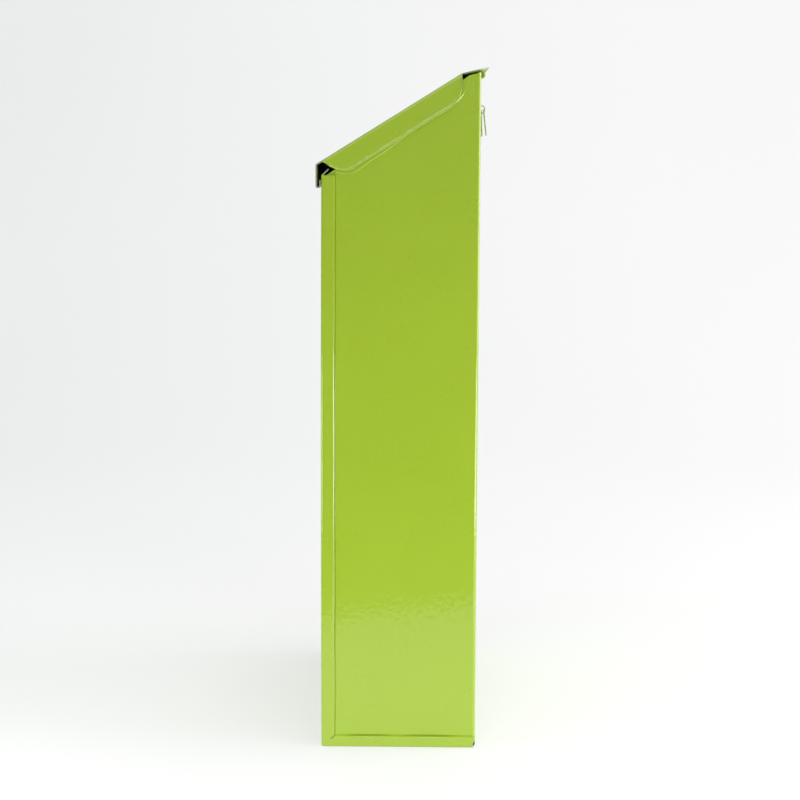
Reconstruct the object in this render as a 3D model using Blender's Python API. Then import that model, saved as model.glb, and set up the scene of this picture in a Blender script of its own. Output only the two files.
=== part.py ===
"""Wall mailbox of bent steel sheet, with a hinged sloping lid and a cam lock.

Frame: +Z up, front faces -Y, width along X, origin at the middle of the underside.
"""
import math

import bmesh
import bpy

MM = 0.001

# Case
WIDTH = 250.0 * MM          # over the tray's side flanges
DEPTH = 100.0 * MM          # front face to back face
FRONT_TOP = 372.3 * MM      # height of the front panel
SHEET = 0.9 * MM
GAP = 0.3 * MM              # between touching sheets
BEND = 2.0 * MM             # centreline radius of the case's vertical bends
FLANGE = 7.6 * MM           # width of the tray's side flanges
REAR_FLANGE = 5.0 * MM
LEAN_FLANGE = 6.0 * MM      # inward stiffening flange on top of the front
MITRE_SLIT = 0.4 * MM
STEP = 0.8 * MM             # depth of the pressed recess under the lid's skirts

# Lid
LID_SLOPE = math.radians(31.6)
SHELF_SLOPE = math.radians(14.6)
LID_OVERHANG = 3.3 * MM     # front lip's outer face ahead of the front panel, less one sheet
LIP_HEIGHT = 14.6 * MM
HEM_WIDTH = 3.3 * MM
HEM_HEIGHT = 4.5 * MM
LID_RISE = 7.1 * MM         # lid's front fold above the top of the front panel
SHELF_LENGTH = 17.05 * MM
SHELF_BACK = 11.3 * MM      # start of the rear shelf, ahead of the back face

# Hinge
KNUCKLE_COUNT = 9
KNUCKLE_LENGTH = 24.0 * MM
KNUCKLE_GAP = 0.4 * MM
LEAF_SHEET = 0.8 * MM
ROD_CLEARANCE = 0.08 * MM
KNUCKLE_RADIUS = 2.2 * MM

# Lock
LOCK_DROP = 21.3 * MM       # lock axis below the top of the front panel
LOCK_HEAD_RADIUS = 9.0 * MM
LOCK_HEAD_HEIGHT = 3.2 * MM
LOCK_BARREL_RADIUS = 7.8 * MM
LOCK_LENGTH = 17.0 * MM
PLUG_RADIUS = 5.0 * MM
PLUG_CLEARANCE = 0.08 * MM
KEYWAY = (1.3 * MM, 6.0 * MM, 9.0 * MM)
CAM_LENGTH = 24.0 * MM
CAM_SHEET = 1.5 * MM
CAM_HALF_WIDTH = 5.0 * MM
CAM_TAB = 6.5 * MM
CATCH_HALF_WIDTH = 5.0 * MM
CATCH_SHEET = 1.0 * MM
CATCH_PLAY = 1.2 * MM       # lift of the lid before the catch meets the cam

# Keys and their wire ring
RING_RADIUS = 2.4 * MM
WIRE_RADIUS = 0.35 * MM
RING_OUT = 1.15 * MM        # ring's centre behind the back face
RING_X = 100.0 * MM
RING_DROP = 21.6 * MM        # ring's centre below the hinge axis
TIE_HOLE_RADIUS = 1.25 * MM
KEY_LENGTH = 18.4 * MM
KEY_SHEET = 1.0 * MM
KEY_OUT = (1.0 * MM, 2.5 * MM)
KEY_DROP = (0.8 * MM, 0.2 * MM)
KEY_LEAN = (math.radians(1.0), math.radians(9.0))

# Wall fixing
WALL_HOLE_RADIUS = 3.0 * MM
WALL_HOLE_X = 90.0 * MM
WALL_HOLE_LOW = 60.0 * MM
WALL_HOLE_DROP = 45.7 * MM   # upper pair of wall holes below the hinge axis

ROUND = 32
ROOT = 0.3 * MM             # bite of one joined solid into the next

HALF_WIDTH = WIDTH / 2
FRONT = -DEPTH / 2
BACK = DEPTH / 2
SIDE_OUT = HALF_WIDTH - SHEET - GAP
SIDE_MID = SIDE_OUT - SHEET / 2
SKIRT_IN = HALF_WIDTH + GAP
SKIRT_OUT = SKIRT_IN + SHEET
LIP_Y = FRONT - LID_OVERHANG + SHEET / 2 - GAP
FOLD_Z = FRONT_TOP + LID_RISE - SHEET / 2
SHELF_Y = BACK - SHELF_BACK
SHELF_Z = FOLD_Z + math.tan(LID_SLOPE) * (SHELF_Y - LIP_Y)
BODY_KNUCKLE_MID = KNUCKLE_RADIUS - SHEET / 2
LEAF_KNUCKLE_MID = KNUCKLE_RADIUS - LEAF_SHEET / 2
AXIS_Y = BACK - SHEET / 2 + BODY_KNUCKLE_MID
LEAF_DROP = SHEET / 2 + GAP + LEAF_SHEET / 2
AXIS_DROP = LEAF_DROP + LEAF_KNUCKLE_MID
AXIS_Z = (SHELF_Z + math.tan(SHELF_SLOPE) * (AXIS_Y - SHELF_Y)
          - AXIS_DROP / math.cos(SHELF_SLOPE))
LOCK_Z = FRONT_TOP - LOCK_DROP
LOCK_TAIL = FRONT - GAP + LOCK_LENGTH
RING_Y = BACK + RING_OUT
RING_HEIGHT = AXIS_Z - RING_DROP
WALL_HOLE_HEIGHTS = (WALL_HOLE_LOW, AXIS_Z - WALL_HOLE_DROP)


def lid_line(y):
    """Height of the middle of the lid's sheet at y, on its main slope."""
    return FOLD_Z + math.tan(LID_SLOPE) * (y - LIP_Y)


def arc(centre, radius, start, sweep, count=ROUND):
    """Points along an arc, angles in degrees."""
    points = []
    for i in range(count + 1):
        a = math.radians(start + sweep * i / count)
        points.append((centre[0] + radius * math.cos(a), centre[1] + radius * math.sin(a)))
    return points


def rounded(points, radius, count=5):
    """The open path with each inner corner replaced by an arc of the given radius."""
    path = [points[0]]
    for before, corner, after in zip(points, points[1:], points[2:]):
        ax, ay = before[0] - corner[0], before[1] - corner[1]
        bx, by = after[0] - corner[0], after[1] - corner[1]
        la, lb = math.hypot(ax, ay), math.hypot(bx, by)
        ax, ay, bx, by = ax / la, ay / la, bx / lb, by / lb
        half = math.acos(max(-1.0, min(1.0, ax * bx + ay * by))) / 2
        cut = radius / math.tan(half)
        reach = radius / math.sin(half)
        mx, my = ax + bx, ay + by
        length = math.hypot(mx, my)
        cx, cy = corner[0] + reach * mx / length, corner[1] + reach * my / length
        a0 = math.atan2(corner[1] + ay * cut - cy, corner[0] + ax * cut - cx)
        a1 = math.atan2(corner[1] + by * cut - cy, corner[0] + bx * cut - cx)
        turn = (a1 - a0 + math.pi) % (2 * math.pi) - math.pi
        path += arc((cx, cy), radius, math.degrees(a0), math.degrees(turn), count)
    path.append(points[-1])
    return path


def ribbon(path, thickness):
    """Closed outline of a sheet of this thickness that follows the open path."""
    left, right = [], []
    last = len(path) - 1
    for i, (x, y) in enumerate(path):
        x0, y0 = path[max(i - 1, 0)]
        x1, y1 = path[min(i + 1, last)]
        ux, uy = x - x0, y - y0
        vx, vy = x1 - x, y1 - y
        if i == 0:
            ux, uy = vx, vy
        if i == last:
            vx, vy = ux, uy
        lu, lv = math.hypot(ux, uy), math.hypot(vx, vy)
        nx, ny = -(uy / lu + vy / lv), ux / lu + vx / lv
        scale = thickness / (nx * nx + ny * ny)
        left.append((x + nx * scale, y + ny * scale))
        right.append((x - nx * scale, y - ny * scale))
    return left + right[::-1]


def place(axis, a, b, along):
    """Point of an outline drawn across the named axis."""
    if axis == "X":
        return (along, a, b)
    if axis == "Y":
        return (a, along, b)
    return (a, b, along)


def new_object(name, bm):
    bmesh.ops.recalc_face_normals(bm, faces=bm.faces[:])
    mesh = bpy.data.meshes.new(name)
    bm.to_mesh(mesh)
    bm.free()
    obj = bpy.data.objects.new(name, mesh)
    bpy.context.collection.objects.link(obj)
    return obj


def prism(name, outline, axis, low, high):
    """Solid with a closed outline, straight along the axis from low to high."""
    bm = bmesh.new()
    ends = []
    for along in (low, high):
        ends.append([bm.verts.new(place(axis, a, b, along)) for a, b in outline])
    count = len(outline)
    for i in range(count):
        j = (i + 1) % count
        bm.faces.new((ends[0][i], ends[0][j], ends[1][j], ends[1][i]))
    bm.faces.new(ends[0][::-1])
    bm.faces.new(ends[1])
    return new_object(name, bm)


def turned(name, profile, centre_x, centre_z, count=ROUND * 2):
    """Solid of revolution about a line along Y; profile is a closed loop of (radius, y)."""
    bm = bmesh.new()
    rings = []
    for radius, y in profile:
        if radius < 1e-7:
            rings.append([bm.verts.new((centre_x, y, centre_z))])
            continue
        ring = []
        for x, z in arc((centre_x, centre_z), radius, 0, 360 - 360 / count, count - 1):
            ring.append(bm.verts.new((x, y, z)))
        rings.append(ring)
    for a, b in zip(rings, rings[1:] + rings[:1]):
        if len(a) == 1 and len(b) == 1:
            continue
        for i in range(count):
            j = (i + 1) % count
            corners = [a[i % len(a)], a[j % len(a)], b[j % len(b)], b[i % len(b)]]
            unique = list(dict.fromkeys(corners))
            bm.faces.new(unique)
    return new_object(name, bm)


def combine(target, other, operation):
    """Adds or cuts another solid with an exact boolean."""
    modifier = target.modifiers.new(operation.title(), "BOOLEAN")
    modifier.operation = operation
    modifier.solver = "EXACT"
    modifier.object = other
    other.hide_render = True
    other.display_type = "WIRE"


def smooth(obj, degrees=35.0):
    """Smooth shading that stays sharp across real edges."""
    obj.data.shade_smooth()
    obj.data.set_sharp_from_angle(angle=math.radians(degrees))


def centre_on(obj, point):
    """Moves the object's origin to the point and leaves its shape in place."""
    for vertex in obj.data.vertices:
        vertex.co.x -= point[0]
        vertex.co.y -= point[1]
        vertex.co.z -= point[2]
    obj.location = point


def material(name, colour, roughness, metallic):
    mat = bpy.data.materials.new(name)
    mat.use_nodes = True
    shader = mat.node_tree.nodes["Principled BSDF"]
    shader.inputs["Base Color"].default_value = (*colour, 1.0)
    shader.inputs["Roughness"].default_value = roughness
    shader.inputs["Metallic"].default_value = metallic
    return mat


def hinge_span(index):
    """Start and end along X of one knuckle of the hinge."""
    start = (index - KNUCKLE_COUNT / 2) * KNUCKLE_LENGTH
    return start + KNUCKLE_GAP / 2, start + KNUCKLE_LENGTH - KNUCKLE_GAP / 2


def make_case():
    """Back and both sides, one sheet bent round the two rear corners."""
    bottom = SHEET + GAP
    top = AXIS_Z + KNUCKLE_RADIUS
    front_edge = FRONT + SHEET + GAP
    path = rounded([(-SIDE_MID, front_edge), (-SIDE_MID, BACK - SHEET / 2),
                    (SIDE_MID, BACK - SHEET / 2), (SIDE_MID, front_edge)], BEND, 6)
    case = prism("case", ribbon(path, SHEET), "Z", bottom, top)
    hem = SHEET * 6
    above = top + hem
    ahead = FRONT - hem
    behind = BACK + hem
    shoulder = FRONT_TOP + 3.0 * MM
    edge = [(ahead, FRONT_TOP), (FRONT + 3.0 * MM, FRONT_TOP), (FRONT + 7.5 * MM, shoulder),
            (SHELF_Y, lid_line(SHELF_Y) - 4.6 * MM), (BACK - 7.0 * MM, AXIS_Z - 0.5 * MM),
            (BACK - 1.5 * MM, AXIS_Z + 1.2 * MM), (behind, AXIS_Z + 1.2 * MM)]
    waste = prism("case_top_waste", edge + [(behind, above), (ahead, above)], "X",
                  -WIDTH, WIDTH)
    combine(case, waste, "DIFFERENCE")

    recess = [(FRONT + 6.0 * MM, FRONT_TOP + 2.6 * MM), (FRONT + 9.5 * MM, FRONT_TOP + 1.9 * MM),
              (FRONT + 13.1 * MM, FRONT_TOP + 1.3 * MM), (FRONT + 19.5 * MM, FRONT_TOP + 1.3 * MM),
              (FRONT + 22.0 * MM, FRONT_TOP + 2.4 * MM), (FRONT + 30.8 * MM, FRONT_TOP + 8.6 * MM),
              (FRONT + 39.6 * MM, FRONT_TOP + 14.2 * MM), (FRONT + 48.4 * MM, FRONT_TOP + 20.5 * MM),
              (BACK - 19.0 * MM, AXIS_Z - 21.0 * MM), (BACK - 10.2 * MM, AXIS_Z - 12.9 * MM),
              (BACK - 7.6 * MM, AXIS_Z - 7.6 * MM), (BACK - 6.3 * MM, AXIS_Z - 1.1 * MM)]
    region = recess + [(BACK - 6.3 * MM, above), (FRONT - hem, above),
                       (FRONT - hem, FRONT_TOP + 2.6 * MM)]
    keep = [(y, z) for y, z in edge[1:6]]
    inner = recess + [(BACK - 6.3 * MM, AXIS_Z - 0.35 * MM)] + keep[3:0:-1] + [
        (FRONT + 3.5 * MM, FRONT_TOP + 0.25 * MM)]
    for sign in (-1, 1):
        near, far = sorted((sign * (SIDE_OUT - STEP - SHEET), sign * (SIDE_OUT - SHEET / 2)))
        backing = prism("case_recess_backing", widened(inner, SHEET), "X", near, far)
        trim = prism("case_backing_waste", edge + [(behind, above), (ahead, above)], "X",
                     -WIDTH, WIDTH)
        combine(backing, trim, "DIFFERENCE")
        combine(case, backing, "UNION")
        near, far = sorted((sign * (SIDE_OUT - STEP), sign * (SIDE_OUT + hem)))
        combine(case, prism("case_recess_waste", region, "X", near, far), "DIFFERENCE")

    notch = KNUCKLE_COUNT * KNUCKLE_LENGTH / 2 + 3.0 * MM
    back_top = AXIS_Z - KNUCKLE_RADIUS - 0.6 * MM
    slot = [(-notch, back_top), (notch, back_top), (notch, above), (-notch, above)]
    combine(case, prism("case_back_notch", slot, "Y", BACK - 3.0 * MM, behind), "DIFFERENCE")
    for index in range(0, KNUCKLE_COUNT, 2):
        low, high = hinge_span(index)
        path = [(BACK - SHEET / 2, back_top - 3.0 * MM)]
        path += arc((AXIS_Y, AXIS_Z), BODY_KNUCKLE_MID, 180, -300)
        roll = ribbon(path, SHEET - ROOT / 4)
        combine(case, prism("case_knuckle", roll, "X", low, high), "UNION")
    for x in (-WALL_HOLE_X, WALL_HOLE_X):
        for z in WALL_HOLE_HEIGHTS:
            hole = turned("case_wall_hole", [(0, BACK - 5 * MM), (WALL_HOLE_RADIUS, BACK - 5 * MM),
                                             (WALL_HOLE_RADIUS, BACK + 5 * MM), (0, BACK + 5 * MM)],
                          x, z, ROUND)
            combine(case, hole, "DIFFERENCE")
    reach = RING_Y - (BACK - SHEET / 2)
    half = math.sqrt(RING_RADIUS ** 2 - reach ** 2)
    for z in (RING_HEIGHT - half, RING_HEIGHT + half):
        hole = turned("case_tie_hole", [(0, BACK - 5 * MM), (TIE_HOLE_RADIUS, BACK - 5 * MM),
                                        (TIE_HOLE_RADIUS, BACK + 5 * MM), (0, BACK + 5 * MM)],
                      RING_X, z, ROUND // 2)
        combine(case, hole, "DIFFERENCE")
    return case


def widened(outline, amount):
    """The outline pushed outwards by an amount, along its own corner normals."""
    area = sum(a[0] * b[1] - b[0] * a[1] for a, b in zip(outline, outline[1:] + outline[:1]))
    side = 1.0 if area > 0 else -1.0
    result = []
    for i, (x, y) in enumerate(outline):
        x0, y0 = outline[i - 1]
        x1, y1 = outline[(i + 1) % len(outline)]
        ux, uy = x - x0, y - y0
        vx, vy = x1 - x, y1 - y
        lu, lv = math.hypot(ux, uy), math.hypot(vx, vy)
        nx, ny = uy / lu + vy / lv, -(ux / lu + vx / lv)
        scale = side * amount * 2 / (nx * nx + ny * ny)
        result.append((x + nx * scale, y + ny * scale))
    return result


def make_tray():
    """Front, bottom and short rear flange, one sheet whose side flanges lap the case."""
    mid = SHEET / 2
    lean = LEAN_FLANGE * math.cos(math.radians(45))
    rear = BACK + GAP + mid
    path = rounded([(FRONT + mid + lean, FRONT_TOP + lean), (FRONT + mid, FRONT_TOP),
                    (FRONT + mid, mid), (rear, mid), (rear, REAR_FLANGE)], 0.8 * MM, 4)
    tray = prism("tray", ribbon(path, SHEET), "X", -HALF_WIDTH + ROOT, HALF_WIDTH - ROOT)
    slit = MITRE_SLIT / math.sqrt(2)
    stop = 1.6 * MM
    corner = 1.4 * MM
    inner = FRONT + FLANGE
    face = FRONT + ROOT / 2
    heel = rear + mid - ROOT / 2
    side = [(FRONT + corner, ROOT / 2), (heel - corner, ROOT / 2), (heel, corner),
            (heel, REAR_FLANGE - ROOT), (rear - mid, FLANGE),
            (inner + slit, FLANGE), (FRONT + stop + slit, stop), (FRONT + stop, stop + slit),
            (inner, FLANGE + slit), (inner, FRONT_TOP - ROOT), (face, FRONT_TOP - ROOT),
            (face, corner)]
    for sign in (-1, 1):
        low, high = sorted((sign * (HALF_WIDTH - SHEET), sign * HALF_WIDTH))
        combine(tray, prism("tray_side_flange", side, "X", low, high), "UNION")
    hole = turned("tray_lock_hole", [(0, FRONT - 5 * MM), (LOCK_BARREL_RADIUS + GAP, FRONT - 5 * MM),
                                     (LOCK_BARREL_RADIUS + GAP, FRONT + 3 * MM),
                                     (0, FRONT + 3 * MM)], 0.0, LOCK_Z)
    combine(tray, hole, "DIFFERENCE")
    return tray


def make_lid():
    """Lid: hemmed front lip, sloping top, rear shelf and a rounded skirt at each end."""
    mid = SHEET / 2
    hem_y = LIP_Y + HEM_WIDTH - SHEET
    lip_z = FOLD_Z - LIP_HEIGHT + mid
    shelf_end = (SHELF_Y + SHELF_LENGTH * math.cos(SHELF_SLOPE),
                 SHELF_Z + SHELF_LENGTH * math.sin(SHELF_SLOPE))
    path = rounded([(hem_y, lip_z + HEM_HEIGHT), (hem_y, lip_z), (LIP_Y, lip_z),
                    (LIP_Y, FOLD_Z), (SHELF_Y, SHELF_Z), shelf_end], 0.6 * MM, 4)
    lid = prism("lid", ribbon(path, SHEET), "X", -SKIRT_OUT + ROOT, SKIRT_OUT - ROOT)
    y0, z0 = FRONT, FRONT_TOP
    front_curve = [(y0 + 1.1 * MM, z0 + 8.4 * MM), (y0 + 3.9 * MM, z0 + 6.6 * MM),
                   (y0 + 6.6 * MM, z0 + 4.9 * MM), (y0 + 8.6 * MM, z0 + 3.9 * MM),
                   (y0 + 10.6 * MM, z0 + 3.4 * MM), (y0 + 13.0 * MM, z0 + 3.2 * MM),
                   (y0 + 15.7 * MM, z0 + 3.3 * MM), (y0 + 18.6 * MM, z0 + 3.9 * MM),
                   (y0 + 22.0 * MM, z0 + 5.2 * MM), (y0 + 26.0 * MM, z0 + 7.7 * MM)]
    y1, z1 = SHELF_Y, SHELF_Z
    back_curve = [(y1 - 8.6 * MM, z1 - 21.6 * MM), (y1 - 5.4 * MM, z1 - 19.1 * MM),
                  (y1 - 2.4 * MM, z1 - 15.2 * MM), (y1 - 0.4 * MM, z1 - 11.2 * MM),
                  (y1 + 0.6 * MM, z1 - 7.0 * MM), (y1 + 0.9 * MM, z1 - 2.5 * MM),
                  (y1 + 0.8 * MM, z1)]
    top = [(SHELF_Y, SHELF_Z), (y0 + 1.1 * MM, lid_line(y0 + 1.1 * MM))]
    for sign in (-1, 1):
        low, high = sorted((sign * SKIRT_IN, sign * SKIRT_OUT))
        combine(lid, prism("lid_skirt", front_curve + back_curve + top, "X", low, high), "UNION")
    return lid


def make_leaf():
    """Hinge leaf under the lid's rear shelf, rolled into the lid's own knuckles."""
    ux, uz = math.cos(SHELF_SLOPE), math.sin(SHELF_SLOPE)
    foot = (SHELF_Y + 2.4 * MM + LEAF_DROP * uz, SHELF_Z + 2.4 * MM * uz / ux - LEAF_DROP * ux)
    length = 7.2 * MM
    knee = (foot[0] + length * ux, foot[1] + length * uz)
    half = KNUCKLE_COUNT * KNUCKLE_LENGTH / 2
    leaf = prism("lid_hinge_leaf", ribbon([foot, knee], LEAF_SHEET), "X",
                 -half + KNUCKLE_LENGTH, half - KNUCKLE_LENGTH)
    start = math.degrees(SHELF_SLOPE) + 90
    for index in range(1, KNUCKLE_COUNT, 2):
        low, high = hinge_span(index)
        near = (foot[0] + 4.0 * MM * ux, foot[1] + 4.0 * MM * uz)
        path = [near] + arc((AXIS_Y, AXIS_Z), LEAF_KNUCKLE_MID, start, -300)
        roll = ribbon(path, LEAF_SHEET - ROOT / 4)
        combine(leaf, prism("leaf_knuckle", roll, "X", low, high), "UNION")
    return leaf


def make_rod():
    radius = KNUCKLE_RADIUS - SHEET - ROD_CLEARANCE
    half = KNUCKLE_COUNT * KNUCKLE_LENGTH / 2 + 0.5 * MM
    return prism("hinge_rod", arc((AXIS_Y, AXIS_Z), radius, 0, 360 - 360 / ROUND, ROUND - 1), "X",
                 -half, half)


def make_lock_body():
    """Lock housing: domed head outside the front and a plain barrel through it."""
    head = FRONT - GAP - LOCK_HEAD_HEIGHT
    seat = FRONT - GAP
    bore = PLUG_RADIUS + PLUG_CLEARANCE
    return turned("lock_body", [(bore, head + 0.3 * MM), (bore + 0.8 * MM, head),
                                (LOCK_HEAD_RADIUS - 1.6 * MM, head),
                                (LOCK_HEAD_RADIUS - 0.5 * MM, head + 0.5 * MM),
                                (LOCK_HEAD_RADIUS, head + 1.6 * MM), (LOCK_HEAD_RADIUS, seat),
                                (LOCK_BARREL_RADIUS, seat), (LOCK_BARREL_RADIUS, LOCK_TAIL),
                                (bore, LOCK_TAIL)], 0.0, LOCK_Z)


def make_lock_washer():
    low = FRONT + SHEET + GAP
    inner = LOCK_BARREL_RADIUS + GAP
    outer = LOCK_HEAD_RADIUS + 2.2 * MM
    return turned("lock_washer", [(inner, low), (outer, low), (outer, low + 0.8 * MM),
                                  (inner, low + 0.8 * MM)], 0.0, LOCK_Z)


def make_lock_nut():
    low = FRONT + SHEET + 2 * GAP + 0.8 * MM
    high = low + 4.0 * MM
    across = 11.0 * MM / math.cos(math.radians(30))
    outline = arc((0.0, LOCK_Z), across, 0, 300, 5)
    nut = prism("lock_nut", outline, "Y", low, high)
    hole = turned("lock_nut_hole", [(0, low - MM), (LOCK_BARREL_RADIUS + GAP, low - MM),
                                    (LOCK_BARREL_RADIUS + GAP, high + MM), (0, high + MM)],
                  0.0, LOCK_Z)
    combine(nut, hole, "DIFFERENCE")
    return nut


def make_plug():
    """Turning plug with a keyway in its face and a square tail for the cam."""
    face = FRONT - GAP - LOCK_HEAD_HEIGHT + 0.2 * MM
    plug = turned("lock_plug", [(0, face), (PLUG_RADIUS, face), (PLUG_RADIUS, LOCK_TAIL + 0.3 * MM),
                                (0, LOCK_TAIL + 0.3 * MM)], 0.0, LOCK_Z)
    half = 3.0 * MM
    square = [(-half, LOCK_Z - half), (half, LOCK_Z - half), (half, LOCK_Z + half),
              (-half, LOCK_Z + half)]
    tail_end = LOCK_TAIL + 0.6 * MM + CAM_SHEET
    combine(plug, prism("plug_tail", square, "Y", LOCK_TAIL - MM, tail_end - 0.2 * MM), "UNION")
    thin, tall, deep = KEYWAY
    way = [(-thin / 2, LOCK_Z - tall / 2), (thin / 2, LOCK_Z - tall / 2),
           (thin / 2, LOCK_Z + tall / 2), (-thin / 2, LOCK_Z + tall / 2)]
    combine(plug, prism("plug_keyway", way, "Y", face - MM, face + deep), "DIFFERENCE")
    bore = turned("plug_screw_hole", [(0, tail_end - 5.5 * MM), (1.6 * MM, tail_end - 5.5 * MM),
                                      (1.6 * MM, tail_end + MM), (0, tail_end + MM)],
                  0.0, LOCK_Z, ROUND)
    combine(plug, bore, "DIFFERENCE")
    return plug


def make_cam():
    """Flat cam with a tab bent inwards at its tip, turned sideways (unlocked)."""
    low = LOCK_TAIL + 0.6 * MM
    high = low + CAM_SHEET
    outline = arc((0.0, LOCK_Z), CAM_HALF_WIDTH + 1.5 * MM, 60, 240, 24)
    outline += [(CAM_LENGTH, LOCK_Z - CAM_HALF_WIDTH + MM), (CAM_LENGTH, LOCK_Z + CAM_HALF_WIDTH - MM)]
    cam = prism("lock_cam", outline, "Y", low, high)
    tab = [(CAM_LENGTH - CAM_SHEET, low + 0.2 * MM), (CAM_LENGTH, low + 0.2 * MM),
           (CAM_LENGTH, high + CAM_TAB), (CAM_LENGTH - CAM_SHEET, high + CAM_TAB)]
    combine(cam, prism("cam_tab", tab, "Z", LOCK_Z - CAM_HALF_WIDTH + MM,
                       LOCK_Z + CAM_HALF_WIDTH - MM), "UNION")
    half = 3.0 * MM + GAP
    square = [(-half, LOCK_Z - half), (half, LOCK_Z - half), (half, LOCK_Z + half),
              (-half, LOCK_Z + half)]
    combine(cam, prism("cam_square_hole", square, "Y", low - MM, high + MM), "DIFFERENCE")
    return cam


def make_cam_screw():
    seat = LOCK_TAIL + 0.6 * MM + CAM_SHEET + GAP
    return turned("cam_screw", [(0, seat - 4.5 * MM), (1.5 * MM, seat - 4.5 * MM), (1.5 * MM, seat),
                                (4.2 * MM, seat), (4.2 * MM, seat + 1.2 * MM),
                                (3.2 * MM, seat + 2.1 * MM), (0, seat + 2.1 * MM)],
                  0.0, LOCK_Z, ROUND)


def make_catch():
    """Catch strip welded under the lid; its forward ledge stops below the raised cam's tab."""
    ledge_z = LOCK_Z + CAM_LENGTH - CAM_SHEET - CATCH_PLAY - CATCH_SHEET / 2
    ledge_front = LOCK_TAIL + 0.6 * MM + CAM_SHEET + 1.5 * MM
    wall_y = ledge_front + 9.0 * MM
    drop = (SHEET / 2 + GAP + CATCH_SHEET / 2) / math.cos(LID_SLOPE)
    foot_y = wall_y + 14.0 * MM
    path = rounded([(ledge_front, ledge_z), (wall_y, ledge_z), (wall_y, lid_line(wall_y) - drop),
                    (foot_y, lid_line(foot_y) - drop)], 0.8 * MM, 4)
    return prism("lid_catch", ribbon(path, CATCH_SHEET), "X", -CATCH_HALF_WIDTH, CATCH_HALF_WIDTH)


def make_ring():
    """Wire ring through the two tie holes in the back."""
    bm = bmesh.new()
    rings = []
    for uy, uz in arc((0.0, 0.0), 1.0, 0, 352.5, 47):
        ring = []
        for a, b in arc((0.0, 0.0), WIRE_RADIUS, 0, 330, 11):
            radius = RING_RADIUS + a
            ring.append(bm.verts.new((RING_X + b, RING_Y + uy * radius,
                                      RING_HEIGHT + uz * radius)))
        rings.append(ring)
    for a, b in zip(rings, rings[1:] + rings[:1]):
        for i in range(12):
            j = (i + 1) % 12
            bm.faces.new((a[i], a[j], b[j], b[i]))
    return new_object("key_ring", bm)


def make_key(name, y, drop, lean):
    """Flat key hanging on the ring's lowest stretch, turned out from the wall by its lean."""
    bow, hole = 4.3 * MM, 1.5 * MM
    eye_z = RING_HEIGHT - RING_RADIUS - drop
    blade, shoulder = 1.7 * MM, 5.0 * MM
    tip = KEY_LENGTH - bow
    outline = arc((0.0, -1.4 * MM), bow, -60, 300, 30)
    outline += [(-blade, -shoulder - 0.6 * MM), (-blade, -tip + 1.6 * MM), (-0.4 * MM, -tip + bow / 3),
                (0.3 * MM, -tip + bow / 3 - 0.6 * MM), (blade - 0.7 * MM, -tip + 1.9 * MM),
                (blade, -tip + 3.0 * MM), (blade - 0.8 * MM, -tip + 4.2 * MM),
                (blade, -tip + 5.4 * MM), (blade, -shoulder - 0.6 * MM)]
    key = prism(name, outline, "Y", -KEY_SHEET / 2, KEY_SHEET / 2)
    cut = turned(name + "_hole", [(0, -KEY_SHEET), (hole, -KEY_SHEET), (hole, KEY_SHEET),
                                  (0, KEY_SHEET)], 0.0, 0.0, ROUND)
    combine(key, cut, "DIFFERENCE")
    cut.parent = key
    key.location = (RING_X, y, eye_z)
    key.rotation_euler = (lean, 0.0, 0.0)
    return key


def build():
    for obj in list(bpy.data.objects):
        bpy.data.objects.remove(obj, do_unlink=True)
    paint = (0.33, 0.50, 0.035)
    steel = (0.55, 0.55, 0.53)
    case = make_case()
    tray = make_tray()
    lid = make_lid()
    leaf = make_leaf()
    rod = make_rod()
    lock = [make_lock_body(), make_lock_washer(), make_lock_nut(), make_plug(), make_cam(),
            make_cam_screw()]
    catch = make_catch()
    ring = make_ring()
    keys = [make_key(name, BACK + out, drop, lean) for name, out, drop, lean
            in zip(("key_inner", "key_outer"), KEY_OUT, KEY_DROP, KEY_LEAN)]
    for obj in (case, tray, lid, leaf, catch):
        obj.data.materials.append(material(obj.name + "_paint", paint, 0.25, 0.0))
    for obj in [rod, ring] + lock + keys:
        obj.data.materials.append(material(obj.name + "_metal", steel, 0.3, 1.0))
    for obj in [case, tray, lid, leaf, rod, ring, catch] + lock:
        smooth(obj)
    for obj in (lid, leaf, catch):
        centre_on_axis(obj, (0.0, AXIS_Y, AXIS_Z))
    for obj in lock[3:]:
        centre_on_axis(obj, (0.0, LOCK_TAIL, LOCK_Z))
    centre_on_axis(ring, (RING_X, BACK - SHEET / 2, RING_HEIGHT))


def centre_on_axis(obj, point):
    """Moves an object's origin, and those of the solids it is cut by, onto its joint axis."""
    operands = [m.object for m in obj.modifiers if m.type == "BOOLEAN"]
    centre_on(obj, point)
    for other in operands:
        centre_on(other, point)


build()
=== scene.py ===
import math

import bpy
import numpy as np
from mathutils import Matrix, Vector


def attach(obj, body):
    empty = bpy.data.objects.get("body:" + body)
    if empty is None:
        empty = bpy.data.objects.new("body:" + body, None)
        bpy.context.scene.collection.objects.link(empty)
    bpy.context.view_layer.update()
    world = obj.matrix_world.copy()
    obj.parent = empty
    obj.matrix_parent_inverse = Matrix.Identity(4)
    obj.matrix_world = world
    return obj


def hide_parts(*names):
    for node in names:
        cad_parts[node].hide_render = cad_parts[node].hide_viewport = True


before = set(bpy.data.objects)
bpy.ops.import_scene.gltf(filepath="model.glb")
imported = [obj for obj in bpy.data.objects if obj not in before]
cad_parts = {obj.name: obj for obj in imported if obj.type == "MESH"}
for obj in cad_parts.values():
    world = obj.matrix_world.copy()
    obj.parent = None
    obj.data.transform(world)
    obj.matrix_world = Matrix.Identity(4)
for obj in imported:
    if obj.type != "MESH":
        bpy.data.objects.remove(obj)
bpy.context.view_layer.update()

MM = 0.001

# All sizes are in millimetres: Y runs from front to back, Z up, X across the width.

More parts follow.
